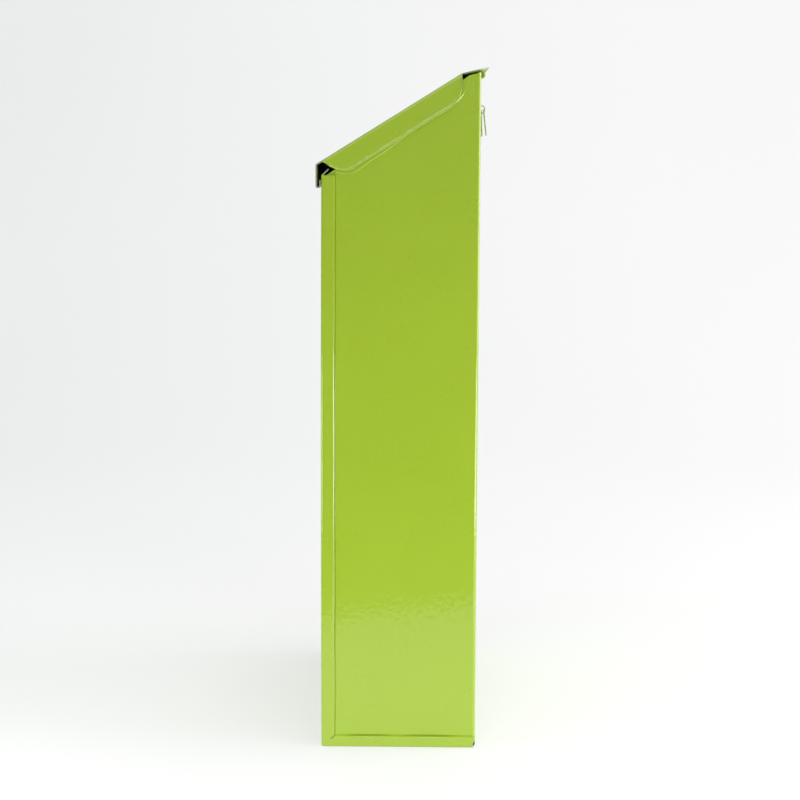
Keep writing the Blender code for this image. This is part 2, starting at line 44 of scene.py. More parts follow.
# Folded sheets
SHEET = 0.9
GAP = 0.3
BEND = 1.4
CASE_BEND = 2.2
HALF_WIDTH = 125.0
SIDE_OUT = HALF_WIDTH - SHEET - 0.05
FRONT = -50.0
BACK = 50.5
FRONT_TOP = 372.3

# Case: band that stands out under the lid's skirt, and its back edge
BAND_RISE = 0.45
BAND_RAMP = 0.9
BACK_TOP = 436.9
HINGE_TOP = 433.0
HINGE_HALF_WIDTH = 113.8

# Tray: side flanges that lap the case, their worn edges and the slight bow of the front
FLANGE = 8.6
BOTTOM_FLANGE = 7.6
EDGE_ROLL = 0.52
FRONT_BOW = 0.4
REAR_FLANGE_HALF = 119.6

# Lid
LID_SLOPE = math.radians(31.9)
SHELF_SLOPE = math.radians(13.1)
LIP_Y = -53.15
FOLD_Z = 378.95
SHELF_Y = 38.2
SHELF_LENGTH = 17.4
LIP_HEIGHT = 14.15
HEM_WIDTH = 2.4
HEM_HEIGHT = 4.5
SKIRT_MID = 125.3
SKIRT_FLARE = 0.35
SKIRT_BEND = 1.05
SKIRT_DEPTH = 14.15

# Hinge barrel
KNUCKLE_RADIUS = 2.2
KNUCKLE_PITCH = 24.0
AXIS_Y = 51.3
AXIS_Z = 435.69

# Ring and keys
RING_X = 100.0
RING_Y = 51.15
RING_Z = 414.1
RING_RADIUS = 2.4
WIRE_RADIUS = 0.35
KEY_EYE_Z = 411.7
KEY_THICKNESS = 0.8
EYE_RADIUS = 1.5
BOW_RADIUS = 4.3
BOW_OFFSET = -1.4
BLADE_HALF = 1.7
KEY_REACH = 14.0
TIP_TAPER = 6.4
NOTCH = 0.105

# Orange peel in the powder coat: waves per metre and depth in metres, large then fine
PEEL_SCALE, PEEL_DEPTH = 300.0, 1.05e-4
FINE_SCALE, FINE_DEPTH = 900.0, 3e-6

# Lid's top line in side view: where it starts, the unit step up the slope, and the one below it
TOP_START = np.array([-53.3, 379.4])
ALONG = np.array([math.cos(LID_SLOPE), math.sin(LID_SLOPE)])
DOWN = np.array([math.sin(LID_SLOPE), -math.cos(LID_SLOPE)])


# ---------------------------------------------------------------- mesh helpers

def link(mesh, name):
    """Object for a mesh, placed in the scene."""
    obj = bpy.data.objects.new(name, mesh)
    bpy.context.scene.collection.objects.link(obj)
    return obj


def surface(name, patches, flip=False, masks=None):
    """Mesh of one or more grids of points (rows, columns, xyz) in millimetres.

    Each grid gives one quad per cell; cells whose mask is False are left out, and corners
    that fall on the same point are joined, so collapsed cells become triangles.
    """
    points, quads = [], []
    base = 0
    for number, grid in enumerate(patches):
        rows, cols = grid.shape[:2]
        index = np.arange(rows * cols).reshape(rows, cols) + base
        cell = np.stack([index[:-1, :-1], index[1:, :-1], index[1:, 1:], index[:-1, 1:]], -1)
        if masks is not None and masks[number] is not None:
            cell = cell[masks[number]]
        quads.append(cell.reshape(-1, 4))
        points.append(grid.reshape(-1, 3))
        base += rows * cols
    points = np.concatenate(points)
    quads = np.concatenate(quads)
    _, first, inverse = np.unique(np.round(points, 4), axis=0, return_index=True,
                                  return_inverse=True)
    quads = inverse.reshape(-1)[quads]
    points = points[first]
    if flip:
        quads = quads[:, ::-1]
    nxt = np.roll(quads, -1, axis=1)
    keep = quads != nxt
    sizes = keep.sum(1)
    good = sizes >= 3
    diagonal = (quads[:, 0] == quads[:, 2]) | (quads[:, 1] == quads[:, 3])
    good &= ~diagonal
    quads, keep, sizes = quads[good], keep[good], sizes[good]
    loops = quads[keep]
    used, loops = np.unique(loops, return_inverse=True)
    points = points[used]
    mesh = bpy.data.meshes.new(name)
    mesh.vertices.add(len(points))
    mesh.vertices.foreach_set("co", (points * MM).astype(np.float32).ravel())
    mesh.loops.add(len(loops))
    mesh.loops.foreach_set("vertex_index", loops.reshape(-1).astype(np.int32))
    mesh.polygons.add(len(sizes))
    starts = np.concatenate([[0], np.cumsum(sizes)[:-1]])
    mesh.polygons.foreach_set("loop_start", starts.astype(np.int32))
    mesh.update(calc_edges=True)
    mesh.validate()
    mesh.shade_smooth()
    return link(mesh, name)


def bent(points, radius, step=4.0, turns=6):
    """Open path through the points, corners rounded by arcs, straights cut into steps."""
    points = [np.array(p, float) for p in points]
    out = [points[0]]
    for before, corner, after in zip(points, points[1:], points[2:]):
        a = (before - corner) / np.linalg.norm(before - corner)
        b = (after - corner) / np.linalg.norm(after - corner)
        half = math.acos(np.clip(a @ b, -1, 1)) / 2
        cut = radius / math.tan(half)
        centre = corner + (a + b) / np.linalg.norm(a + b) * radius / math.sin(half)
        start = corner + a * cut - centre
        end = corner + b * cut - centre
        a0, a1 = math.atan2(start[1], start[0]), math.atan2(end[1], end[0])
        turn = (a1 - a0 + math.pi) % (2 * math.pi) - math.pi
        angles = a0 + turn * np.linspace(0, 1, turns + 1)
        out += [centre + radius * np.array([math.cos(t), math.sin(t)]) for t in angles]
    out.append(points[-1])
    dense = [out[0]]
    for p, q in zip(out, out[1:]):
        count = max(1, int(math.ceil(np.linalg.norm(q - p) / step)))
        dense += [p + (q - p) * k / count for k in range(1, count + 1)]
    return np.array(dense)


def smoothstep(t):
    """Smooth S from 0 to 1: three times the square less twice the cube, held at both ends."""
    t = np.clip(t, 0.0, 1.0)
    return t * t * (3 - 2 * t)


def thicken(obj, thickness, offset=0.0, edge=0.36, segments=3):
    """Gives a sheet its thickness and rounds its cut edges, which wear the next material."""
    solid = obj.modifiers.new("Thickness", "SOLIDIFY")
    solid.thickness = thickness * MM
    solid.offset = offset
    solid.use_even_offset = True
    solid.material_offset_rim = 1
    solid.material_offset = 2
    bevel = obj.modifiers.new("Edges", "BEVEL")
    bevel.width = edge * MM
    bevel.segments = segments
    bevel.limit_method = "ANGLE"
    bevel.angle_limit = math.radians(60)
    bevel.harden_normals = True
    return obj


# ---------------------------------------------------------------- shapes

def skirt_depth(s):
    """Depth of the lid's skirt, as a share of the full depth, at a distance s up the slope.

    One at mid-length; each end falls to nothing along part of a parabola.
    """
    front = np.clip((s - 3.8) / 14.0, 0, 1)
    rear = np.clip((107.6 - s) / 18.0, 0, 1)
    return (1 - (1 - front) ** 2) * (1 - (1 - rear) ** 2) ** 0.75


def band_depth(s):
    """Distance from the lid's top line down to the raised band's edge, s up the slope.

    Straight pieces between knots.
    """
    knots = np.array([0.0, 4.5, 7.0, 11.0, 16.0, 19.5, 24.0, 30.0, 40.0, 51.0, 60.0, 88.0,
                      96.0, 102.1, 107.1, 111.6, 114.0])
    depth = np.array([-6.0, 3.0, 10.0, 13.9, 16.9, 17.4, 16.9, 16.5, 16.3, 15.3, 14.6, 14.6,
                      13.9, 11.7, 8.6, 3.7, -4.0])
    return np.interp(s, knots, depth)


def band_line(y):
    """Height of the raised band's lower edge at y: its slanting curve read off along Y."""
    s = np.linspace(0, 114, 400)
    line = TOP_START + s[:, None] * ALONG + band_depth(s)[:, None] * DOWN
    return np.interp(y, line[:, 0], line[:, 1])


def case_top(y):
    """Height of the side's top edge at y: level at the front, a slope, then nearly level."""
    knots = [-50.0, -47.0, -42.5, 38.7, 43.0, 46.5, 48.5, 50.0]
    heights = [372.3, 372.3, 375.3, 432.0, 435.0, 436.0, 436.3, 436.3]
    return np.interp(y, knots, heights)


def gaps(y):
    """Two long gaps, as smooth flat-topped bumps, where the bottom flange stands off the side."""
    return np.exp(-((y + 18.8) / 13.0) ** 4) + np.exp(-((y - 20.0) / 15.0) ** 4)


def make_case():
    """Back and sides: a U-shaped plan (straight, quarter arc, straight) carried up in rows.

    Rows crowd towards the raised band's edge, where the side steps out by BAND_RISE along a
    smooth S. Slow waves, two small dents and a bulge are added to the side, and it steps in
    under the tray's flanges.
    """
    side_y = np.concatenate([[FRONT + SHEET + GAP, -47.0, -45.0, -43.4, -42.1, -41.8, -41.5,
                              -41.2, -41.0, -40.8],
                             np.linspace(-40.5, 36.0, 70),
                             np.linspace(36.4, BACK - CASE_BEND, 34)])
    turn = np.radians(np.linspace(0, 90, 9))[1:-1]
    back_x = np.concatenate([[SIDE_OUT - CASE_BEND, 120.2, 119.8, 114.0, 113.6],
                             np.linspace(110, 0, 30)])
    half_x = np.concatenate([np.full(len(side_y), SIDE_OUT),
                             SIDE_OUT - CASE_BEND + CASE_BEND * np.cos(turn), back_x])
    half_y = np.concatenate([side_y, BACK - CASE_BEND + CASE_BEND * np.sin(turn),
                             np.full(len(back_x), BACK)])
    x = np.concatenate([half_x, -half_x[-2::-1]])
    y = np.concatenate([half_y, half_y[-2::-1]])
    on_side = np.abs(x) > SIDE_OUT - 0.01

    # The back is cut lower between the ends of the hinge, and clears the tray's rear flange.
    top = np.where(on_side, case_top(y), BACK_TOP)
    top = np.where((np.abs(x) < HINGE_HALF_WIDTH) & (y > BACK - 0.01), HINGE_TOP, top)
    line = np.where(on_side, band_line(y), top - 4.0)
    line = np.minimum(line, top - 2.6)
    low = SHEET + GAP + 3.6 * smoothstep((y - 48.6) / 0.6)
    low = np.where(np.abs(x) < 120.0, 5.3, low)
    lap = np.array([7.6, 7.8, 8.1, 8.4, 8.7])[:, None] + 0 * x
    start = 10.4
    lower = (1 - (1 - np.linspace(0, 1, 76)[:, None]) ** 2) * (line - 2.4 - start) + start
    lower = np.concatenate([low[None, :], (low[None, :] + 8.0) / 2, lap, lower])
    middle = np.linspace(0, 1, 20)[1:, None] * 4.2 + (line - 2.4)
    upper = np.linspace(0, 1, 7)[1:, None] * (top - line - 1.8) + (line + 1.8)
    z = np.concatenate([lower, middle, upper])
    yy = np.broadcast_to(y, z.shape)
    xx = np.broadcast_to(x, z.shape)
    rel = np.stack([yy, z], -1) - TOP_START
    s, d = rel @ ALONG, rel @ DOWN
    pressed_in = -BAND_RISE * smoothstep((band_depth(s) - d) / BAND_RAMP + 0.5)
    marks = ((43.4, 422.9, 0.8, 0.6, -0.16), (45.6, 422.2, 0.5, 0.8, -0.16),
             (46.5, 430.0, 1.0, 4.0, 0.12))
    for mark_y, mark_z, half_long, half_high, depth in marks:
        pressed_in = pressed_in + depth * np.exp(-((yy - mark_y) / half_long) ** 2
                                                 - ((z - mark_z) / half_high) ** 2)
    wave = 0.10 * np.sin(yy * 0.052 + 1.1) * np.sin(z * 0.0135 + 0.4)
    wave = wave + 0.035 * np.sin(yy * 0.13 + 2.0) * np.sin(z * 0.031)
    fade = smoothstep((z - 10) / 30) * smoothstep((yy + 43) / 10)
    pressed_in = np.where(on_side, pressed_in + wave * fade, 0.0)
    edge_y = smoothstep((-yy - 40.8) / 0.9)
    edge_z = smoothstep((8.5 - z) / 0.8) * (0.3 + 0.7 * gaps(yy))
    lapped = np.where(np.abs(xx) > SIDE_OUT - 0.01, EDGE_ROLL * np.maximum(edge_y, edge_z), 0)
    xx = xx - np.sign(xx) * (pressed_in + lapped)
    grid = np.stack([xx, yy, z], -1)
    case = surface("case_sheet", [grid], flip=True)
    return thicken(case, SHEET, -1.0)


def make_tray():
    """Tray: an L-shaped side outline with rounded corner, offset inwards for the side flanges.

    Columns run from one seam across the face to the other seam; rows run from the leaning
    top flange down the front, round the corner, along the bottom and up the rear flange.
    share is 0 on the face and rises to 1 at the flange's free edge; inset is the distance
    that a column has been carried in round the bend.
    """
    flat = np.linspace(HALF_WIDTH - BEND, 0, 40)
    turn = np.radians(np.linspace(90, 0, 7))[1:]
    edge = np.concatenate([[1, 0.975, 0.95, 0.92, 0.89, 0.86, 0.83, 0.80],
                           np.linspace(0.75, 0, 8)])
    count = len(edge)
    roll = EDGE_ROLL * (np.maximum(edge - 0.80, 0) / 0.20) ** 1.6
    share = np.concatenate([edge, np.zeros(len(turn) + len(flat) - 1)])
    inset = np.concatenate([np.full(count, BEND), BEND * (1 - np.cos(turn)),
                            np.zeros(len(flat) - 1)])
    released = np.concatenate([roll, np.zeros(len(turn) + len(flat) - 1)])
    released = np.concatenate([released, released[-2::-1]])
    x = np.concatenate([HALF_WIDTH - roll, HALF_WIDTH - BEND + BEND * np.sin(turn), flat[1:]])
    share = np.concatenate([share, share[-2::-1]])
    inset = np.concatenate([inset, inset[-2::-1]])
    x = np.concatenate([x, -x[-2::-1]])
    is_flat = np.abs(x) < HALF_WIDTH - BEND + 0.01

    # Front: the free edge wanders a little, and swells between the spot welds.
    w = np.linspace(1, 0, 90)[:, None]
    front_height = np.where(is_flat, FRONT_TOP - 1.6, FRONT_TOP)
    z_guess = FRONT_TOP * w
    edge_wave = (0.10 * np.sin(z_guess * 0.071) + 0.08 * np.sin(z_guess * 0.023 + 1.0)
                 + 0.10 * np.sin(z_guess * 0.034 + 2.0)
                 - 0.35 * np.exp(-((z_guess - 200.0) / 70.0) ** 2))
    edge_wave = edge_wave * smoothstep((z_guess - 10) / 25)
    o_front = inset + share * (FLANGE - BEND + edge_wave)
    o_corner = inset + share * (FLANGE - BEND)
    corner_z = np.maximum(BEND, inset + share * (BOTTOM_FLANGE - BEND))
    slit = 0.34 * smoothstep((share - 0.5) / 0.15)
    z = corner_z + slit + (front_height - corner_z - slit) * w
    bow = FRONT_BOW * np.sin(np.clip(z / FRONT_TOP, 0, 1) * math.pi) ** 0.7
    y = FRONT + o_front - bow * (1 - share)
    spot = np.abs(np.sin(z * math.pi / 68.0))
    swell = 0.08 * share * spot * smoothstep((z - 9) / 20)
    front = np.stack([np.broadcast_to(x, z.shape) + np.sign(x) * swell, y, z], -1)

    # Corner: quarter arc, with the flanges slit open along the mitre.
    angle = np.radians(np.linspace(0, 90, 7))[1:-1, None]
    radius = np.maximum(BEND - o_corner, 0)
    cy = FRONT + np.maximum(BEND, o_corner)
    cz = np.maximum(BEND, inset + share * (BOTTOM_FLANGE - BEND))
    arc = np.stack([np.broadcast_to(x, (len(angle), len(x))), cy - radius * np.cos(angle),
                    cz - radius * np.sin(angle)], -1)

    # Bottom: the flange stands off the side in two long gaps and lies close elsewhere.
    v = np.linspace(0, 1, 60)[:, None]
    end = np.where(is_flat, BACK - BEND, BACK - 1.3 + 1.0 * smoothstep((share - 0.35) / 0.1))
    by = cy + slit + (end - cy - slit) * v
    lens = gaps(by)
    sag = 0.25 * lens * share ** 3
    bz = inset + share * (BOTTOM_FLANGE - BEND) - sag
    bulge = 0.75 * lens * share ** 2 + released * 0.7 * (1 - lens)
    bottom = np.stack([np.broadcast_to(x, by.shape) + np.sign(x) * bulge, by,
                       np.broadcast_to(bz, by.shape)], -1)

    # Leaning flange along the front's top, and the short flange up the back.
    lean = bent([(0, 0), (0, 3.0), (4.25, 7.25)], 1.1, 1.5)[1:][::-1]
    lean = lean[lean[:, 1] > 0.5]
    top = np.stack([np.broadcast_to(x, (len(lean), len(x))),
                    FRONT + lean[:, :1] + 0 * x, FRONT_TOP - 3.0 + lean[:, 1:] + 0 * x], -1)
    top = top[top[:, 0, 2] > FRONT_TOP - 1.5]
    rear_path = bent([(BACK - 6, 0), (BACK, 0), (BACK, 5.0)], BEND, 1.5)
    rear_path = rear_path[rear_path[:, 1] > 1e-4]
    rear = np.stack([np.broadcast_to(x, (len(rear_path), len(x))), rear_path[:, :1] + 0 * x,
                     rear_path[:, 1:] + 0 * x], -1)
    grid = np.concatenate([top, front, arc, bottom, rear])
    rows = len(grid)
    cells = np.ones((rows - 1, len(x) - 1), bool)
    wide = ~(is_flat[:-1] & is_flat[1:])
    cells[:len(top), wide] = False
    past = np.abs(x[:-1] + x[1:]) / 2 > REAR_FLANGE_HALF
    cells[rows - 1 - len(rear):, past] = False
    corner = len(top) + len(front)
    open_slit = (share[:-1] > 0.6) & (share[1:] > 0.6)
    cells[corner - 1:corner + len(arc), open_slit] = False
    tray = surface("tray_sheet", [grid], flip=True, masks=[cells])
    return thicken(tray, SHEET, -1.0)


def make_lid():
    """Lid: a folded side profile (hem, lip, slope, shelf) carried across the width.

    Past the flat width each row bends down through a quarter arc into the skirt, as far as
    skirt_depth allows, so the skirt's rounded ends come from that one formula. The skirt
    flares out slightly along its rim.
    """
    shelf_z = FOLD_Z + math.tan(LID_SLOPE) * (SHELF_Y - LIP_Y)
    lip_z = FOLD_Z - LIP_HEIGHT
    hem_y = LIP_Y + HEM_WIDTH
    shelf_end = (SHELF_Y + SHELF_LENGTH * math.cos(SHELF_SLOPE),
                 shelf_z + SHELF_LENGTH * math.sin(SHELF_SLOPE))
    path = bent([(hem_y, lip_z + HEM_HEIGHT), (hem_y, lip_z), (LIP_Y, lip_z), (LIP_Y, FOLD_Z),
                 (SHELF_Y, shelf_z), shelf_end], 0.8, 1.0)
    dense = [path[0]]
    for p, q in zip(path, path[1:]):
        s = (q - TOP_START) @ ALONG
        count = 3 if (3 < s < 20 or 86 < s < 110) and q[1] < 39.4 and q[1] > -50 else 1
        dense += [p + (q - p) * k / count for k in range(1, count + 1)]
    path = np.array(dense)
    s = (path - TOP_START) @ ALONG
    on_slope = (path[:, 1] > -51.5) & (path[:, 0] > LIP_Y + 1.2) & (path[:, 0] < SHELF_Y + 2)
    on_slope &= path[:, 1] > FOLD_Z
    quarter = SKIRT_BEND * math.pi / 2
    full = SKIRT_DEPTH - SKIRT_BEND + quarter
    reach = np.where(on_slope, skirt_depth(s), 0.0) * full
    length = np.concatenate([np.linspace(0, quarter, 8), np.linspace(quarter, full, 17)[1:]])
    length = np.minimum(length[None, :], reach[:, None])
    for back, offset in enumerate((0.0, 0.25, 0.5, 0.8), 1):
        held = np.maximum(reach - offset, 0)
        length[:, -back] = np.where(reach > 3, held, length[:, -back])
    length = np.sort(length, axis=1)
    angle = np.minimum(length / SKIRT_BEND, math.pi / 2)
    out = SKIRT_MID - SKIRT_BEND + SKIRT_BEND * np.sin(angle)
    rim_near = smoothstep(1 - (reach[:, None] - length) / 0.7) * (reach[:, None] > 3)
    out = out + SKIRT_FLARE * rim_near
    drop = SKIRT_BEND * (1 - np.cos(angle)) + np.maximum(length - quarter, 0)
    flat_x = np.linspace(SKIRT_MID - SKIRT_BEND, 0, 30)[1:]
    half_out = np.concatenate([out[:, ::-1], np.broadcast_to(flat_x, (len(path), 29))], 1)
    half_drop = np.concatenate([drop[:, ::-1], np.zeros((len(path), 29))], 1)
    x = np.concatenate([half_out, -half_out[:, -2::-1]], 1)
    drop = np.concatenate([half_drop, half_drop[:, -2::-1]], 1)
    y = path[:, :1] + drop * DOWN[0]
    z = path[:, 1:] + drop * DOWN[1]
    grid = np.stack([x, y, z], -1)
    lid = surface("lid_sheet", [grid])
    return thicken(lid, SHEET, 0.0)


def make_knuckles():
    """Case knuckles: a short upright and 300 degrees of arc, straight along X for each."""
    mid = KNUCKLE_RADIUS - SHEET / 2
    angles = np.radians(180 - np.linspace(0, 300, 40))
    path = np.concatenate([[[AXIS_Y - mid, 431.5], [AXIS_Y - mid, 433.5]],
                           np.stack([AXIS_Y + mid * np.cos(angles),
                                     AXIS_Z + mid * np.sin(angles)], -1)])
    patches = []
    for index in range(0, 9, 2):
        low = (index - 4.5) * KNUCKLE_PITCH + 0.2
        x = np.linspace(low, low + KNUCKLE_PITCH - 0.4, 5)
        grid = np.empty((len(path), 5, 3))
        grid[..., 0] = x
        grid[..., 1] = path[:, :1]
        grid[..., 2] = path[:, 1:]
        patches.append(grid)
    knuckles = surface("case_knuckles", patches)
    return thicken(knuckles, SHEET, 0.0, 0.12, 2)


def make_ring():
    """Wire ring: a circle of wire swept round a circle, closed both ways."""
    a = np.linspace(0, 2 * math.pi, 65)[:, None]
    b = np.linspace(0, 2 * math.pi, 17)[None, :]
    a[-1], b[0, -1] = 0, 0
    radius = RING_RADIUS + WIRE_RADIUS * np.cos(b)
    grid = np.stack([RING_X + WIRE_RADIUS * np.sin(b) + 0 * a, RING_Y + radius * np.cos(a),
                     RING_Z + radius * np.sin(a)], -1)
    return surface("key_ring_wire", [grid], flip=True)


def make_key(name, y, drop, lean):
    """Key: polar grid from its eye out to its outline, then thickened.

    In each direction the outline is the farther of the bow's circle and the blade's side or
    tip, with notches in one side. Rings of points run evenly from the eye to that outline.
    The flat key is leant out of plumb about its eye, and hung at y.
    """
    angle = np.linspace(0, 2 * math.pi, 241)
    c, s = np.cos(angle), np.sin(angle)
    bow = BOW_OFFSET * s + np.sqrt(np.maximum(BOW_RADIUS ** 2 - (BOW_OFFSET * c) ** 2, 0))
    down = np.maximum(-s, 1e-3)
    side = BLADE_HALF / np.maximum(np.abs(c), 1e-3)
    tip = (KEY_REACH - TIP_TAPER * np.abs(c / down)) / down
    notch = np.where(c > 0, NOTCH * (np.sin(side * 1.9) > 0.2), 0)
    blade = np.where(s < -0.25, np.minimum(side * (1 - notch), tip), 0)
    outline = np.maximum(bow, blade)
    radius = EYE_RADIUS + (outline - EYE_RADIUS) * np.linspace(0, 1, 9)[:, None]
    across, high = radius * c, radius * s
    across[:, -1], high[:, -1] = across[:, 0], high[:, 0]
    grid = np.stack([RING_X + across, y - high * math.sin(lean),
                     KEY_EYE_Z - drop + high * math.cos(lean)], -1)
    key = surface(name, [grid])
    return thicken(key, KEY_THICKNESS, 0.0, 0.18, 3)


# ---------------------------------------------------------------- materials

def nodes_of(name):
    """New material, its node tree and its shader."""
    mat = bpy.data.materials.new(name)
    mat.use_nodes = True
    tree = mat.node_tree
    return mat, tree, tree.nodes["Principled BSDF"]


def add(tree, kind, **settings):
    """New node of a kind, with its settings."""
    node = tree.nodes.new(kind)
    for key, value in settings.items():
        setattr(node, key, value)
    return node


def noise(tree, scale, detail=2.0, rough=0.5):
    """Noise texture on the piece's own coordinates, in waves per metre."""
    tex = add(tree, "ShaderNodeTexNoise")
    tex.inputs["Scale"].default_value = scale
    tex.inputs["Detail"].default_value = detail
    tex.inputs["Roughness"].default_value = rough
    place = add(tree, "ShaderNodeTexCoord")
    tree.links.new(place.outputs["Object"], tex.inputs["Vector"])
    return tex


def ramp(tree, source, stops):
    """Colour ramp on a source, from stops of place and colour."""
    node = add(tree, "ShaderNodeValToRGB")
    tree.links.new(source, node.inputs["Fac"])
    elements = node.color_ramp.elements
    while len(elements) < len(stops):
        elements.new(0.5)
    for element, (place, colour) in zip(elements, stops):
        element.position = place
        element.color = (*colour, 1.0)
    return node


def grey(value):
    """Neutral colour of one brightness."""
    return (value, value, value)


def powder_coat(name, dark, light, gloss, clear):
    """Glossy powder coat: orange peel in two sizes, faint drift of colour and gloss."""
    mat, tree, shader = nodes_of(name)
    drift = noise(tree, 9.0, 3.0)
    colour = ramp(tree, drift.outputs["Fac"], [(0.3, dark), (0.7, light)])
    tree.links.new(colour.outputs["Color"], shader.inputs["Base Color"])
    haze = noise(tree, 60.0, 2.0)
    rough = ramp(tree, haze.outputs["Fac"],
                 [(0.3, grey(gloss - 0.04)), (0.7, grey(gloss + 0.04))])
    tree.links.new(rough.outputs["Color"], shader.inputs["Roughness"])
    peel = noise(tree, PEEL_SCALE, 2.0, 0.45)
    fine = noise(tree, FINE_SCALE, 1.0, 0.5)
    coarse = add(tree, "ShaderNodeBump")
    coarse.inputs["Strength"].default_value = 1.0
    coarse.inputs["Distance"].default_value = PEEL_DEPTH
    small = add(tree, "ShaderNodeBump")
    small.inputs["Strength"].default_value = 1.0
    small.inputs["Distance"].default_value = FINE_DEPTH
    tree.links.new(peel.outputs["Fac"], coarse.inputs["Height"])
    tree.links.new(fine.outputs["Fac"], small.inputs["Height"])
    tree.links.new(coarse.outputs["Normal"], small.inputs["Normal"])
    tree.links.new(small.outputs["Normal"], shader.inputs["Normal"])
    tree.links.new(small.outputs["Normal"], shader.inputs["Coat Normal"])
    shader.inputs["Specular IOR Level"].default_value = 0.3
    shader.inputs["Coat Weight"].default_value = clear
    shader.inputs["Coat IOR"].default_value = 1.54
    shader.inputs["Coat Roughness"].default_value = 0.03
    return mat


def edge_tones_with_painted_light(name, axis, stops):
    """Cut edges: tone changes along one axis, given in millimetres, carrying painted highlights
    and painted shade as well as thin coat.
    """
    mat, tree, shader = nodes_of(name)
    place = add(tree, "ShaderNodeTexCoord")
    split = add(tree, "ShaderNodeSeparateXYZ")
    reach = add(tree, "ShaderNodeMapRange")
    low, high = stops[0][0], stops[-1][0]
    reach.inputs["From Min"].default_value = low * MM
    reach.inputs["From Max"].default_value = high * MM
    tree.links.new(place.outputs["Object"], split.inputs["Vector"])
    tree.links.new(split.outputs[axis], reach.inputs["Value"])
    tone = ramp(tree, reach.outputs["Result"],
                [((at - low) / (high - low), colour) for at, colour in stops])
    grain = noise(tree, 700.0, 3.0)
    mottle = ramp(tree, grain.outputs["Fac"], [(0.3, grey(0.85)), (0.7, grey(1.0))])
    mix = add(tree, "ShaderNodeMix", data_type="RGBA", blend_type="MULTIPLY")
    mix.inputs["Factor"].default_value = 1.0
    tree.links.new(tone.outputs["Color"], mix.inputs["A"])
    tree.links.new(mottle.outputs["Color"], mix.inputs["B"])
    tree.links.new(mix.outputs["Result"], shader.inputs["Base Color"])
    shader.inputs["Roughness"].default_value = 0.45
    shader.inputs["Specular IOR Level"].default_value = 0.5
    bump = add(tree, "ShaderNodeBump")
    bump.inputs["Distance"].default_value = 2e-5
    tree.links.new(grain.outputs["Fac"], bump.inputs["Height"])
    tree.links.new(bump.outputs["Normal"], shader.inputs["Normal"])
    return mat


def metal(name, dark, light, roughness, grain=300.0):
    """Plated metal: cloudy tone and gloss, fine scratches stretched along Z."""
    mat, tree, shader = nodes_of(name)
    cloud = noise(tree, grain, 4.0, 0.6)
    colour = ramp(tree, cloud.outputs["Fac"], [(0.3, dark), (0.7, light)])
    tree.links.new(colour.outputs["Color"], shader.inputs["Base Color"])
    rough = ramp(tree, cloud.outputs["Fac"], [(0.2, grey(roughness * 0.8)),
                                              (0.8, grey(roughness * 1.25))])
    tree.links.new(rough.outputs["Color"], shader.inputs["Roughness"])
    shader.inputs["Metallic"].default_value = 1.0
    scratch = add(tree, "ShaderNodeTexNoise")
    scratch.inputs["Scale"].default_value = 900.0
    place = add(tree, "ShaderNodeTexCoord")
    mapping = add(tree, "ShaderNodeMapping")
    mapping.inputs["Scale"].default_value = (1.0, 1.0, 0.08)
    tree.links.new(place.outputs["Object"], mapping.inputs["Vector"])
    tree.links.new(mapping.outputs["Vector"], scratch.inputs["Vector"])
    bump = add(tree, "ShaderNodeBump")
    bump.inputs["Distance"].default_value = 8e-6
    tree.links.new(scratch.outputs["Fac"], bump.inputs["Height"])
    tree.links.new(bump.outputs["Normal"], shader.inputs["Normal"])
    return mat


# ---------------------------------------------------------------- build

case = make_case()
tray = make_tray()
lid = make_lid()
knuckles = make_knuckles()
ring = make_ring()
inner_key = make_key("key_inner_plate", 51.25, 0.8, math.radians(1.8))
outer_key = make_key("key_outer_plate", 53.0, 0.2, math.radians(5.8))

green = powder_coat("lime_powder_coat", (0.309, 0.455, 0.0215), (0.321, 0.472, 0.0235),
                    0.30, 1.0)
inside = powder_coat("thin_coat_inside", (0.30, 0.43, 0.06), (0.36, 0.50, 0.09), 0.6, 0.0)

# Tones of the cut edges: a pale and a bright lime painted highlight, a thin coat over bare steel,
# and painted shade, half and deep
PALE_HIGHLIGHT, BARE, RIM_HIGHLIGHT = (0.66, 0.76, 0.46), (0.24, 0.28, 0.20), (0.54, 0.74, 0.07)
SHADED, HALF_SHADE = (0.05, 0.055, 0.03), (0.18, 0.23, 0.08)
# Lid cut edges along Y: thin grey coat at the front corner, bright lime painted highlight along
# the skirt, painted shade under the rear shelf, pale painted highlight at the shelf's tip
lid_edge = edge_tones_with_painted_light("lid_cut_edge", "Y", [(-50.0, BARE), (-46.0, BARE), (-44.0, RIM_HIGHLIGHT),
                                             (37.6, RIM_HIGHLIGHT), (38.6, HALF_SHADE), (49.0, HALF_SHADE),
                                             (52.0, PALE_HIGHLIGHT), (60.0, PALE_HIGHLIGHT)])
# Tray cut edges along Z: painted shade on the low flange edges, bright lime painted highlight up
# the front, thin grey coat on the leaning top flange
tray_edge = edge_tones_with_painted_light("tray_cut_edge", "Z", [(0.0, SHADED), (5.2, SHADED), (6.4, RIM_HIGHLIGHT),
                                               (372.4, RIM_HIGHLIGHT), (372.9, BARE), (380.0, BARE)])
# The case's cut edges are bright lime painted highlight all along
case_edge = edge_tones_with_painted_light("case_cut_edge", "Z", [(0.0, RIM_HIGHLIGHT), (200.0, RIM_HIGHLIGHT), (440.0, RIM_HIGHLIGHT)])
zinc = metal("zinc_plate", (0.42, 0.43, 0.42), (0.60, 0.60, 0.58), 0.35)
# Ring and keys: plated metal's own grey, tinted lime-olive as a painted reflection of the green
# box
reflection_tinted_metal = metal("metal_painted_green_reflection", (0.36, 0.44, 0.12), (0.58, 0.66, 0.24), 0.5)
nickel = metal("nickel_plate", (0.50, 0.49, 0.44), (0.66, 0.65, 0.60), 0.28)

